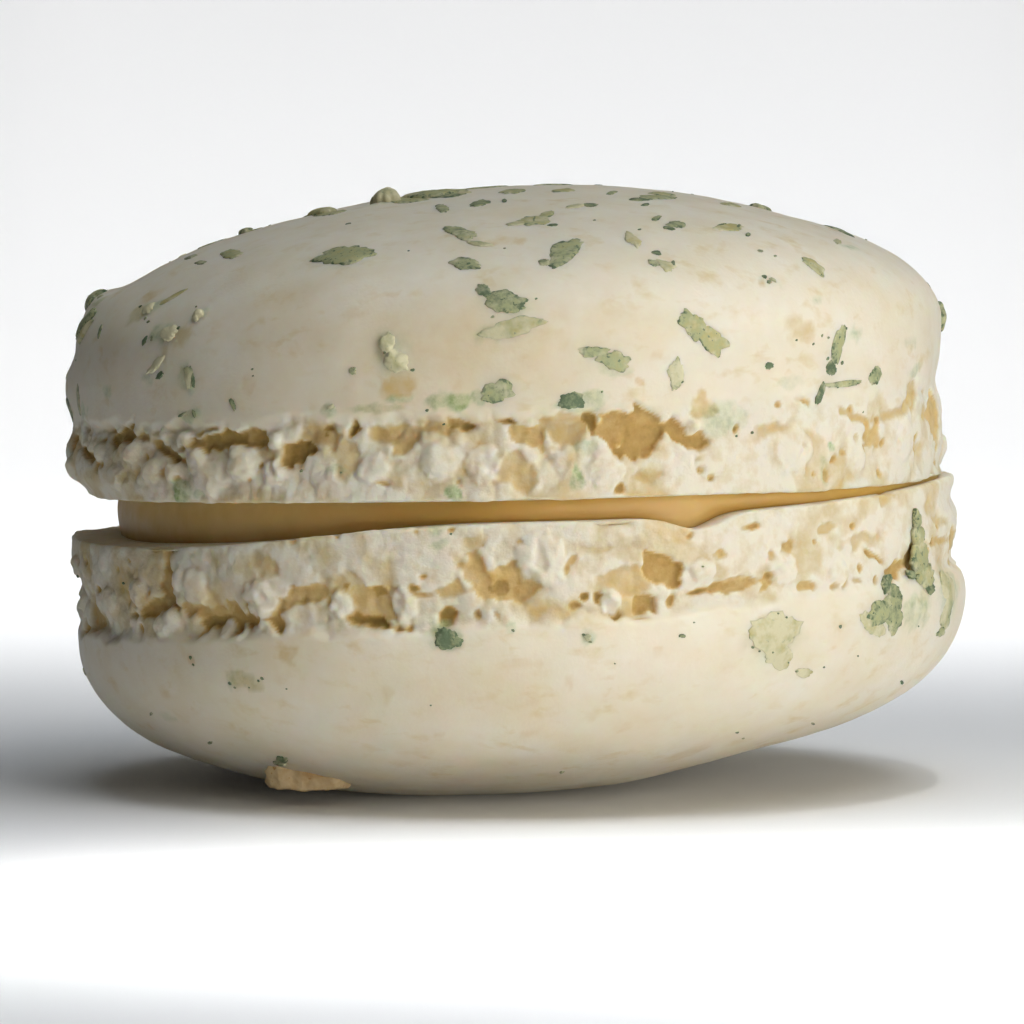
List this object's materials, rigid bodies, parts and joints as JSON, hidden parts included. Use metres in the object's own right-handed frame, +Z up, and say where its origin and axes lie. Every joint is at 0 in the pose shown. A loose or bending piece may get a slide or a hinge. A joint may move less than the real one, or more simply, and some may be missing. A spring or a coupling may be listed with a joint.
{
  "type": "french macaron",
  "caption": "Round sandwich biscuit: two domed almond meringue shells with ruffled feet and a thin cream filling, set at a slight lean.",
  "frame": {"origin": "on the surface that the biscuit stands on, under the middle of its box", "axes": "+Z up through both shells, -Y towards the front, +X to the right, where the shells meet and the gap closes"},
  "size_m": [0.0398, 0.0392, 0.0264],
  "materials": {
    "shell": "satin",
    "filling": "satin",
    "herb": "matte"
  },
  "bodies": {
    "root": {"top_shell": "shell", "filling": "filling", "bottom_shell": "shell"}
  },
  "joints": []
}
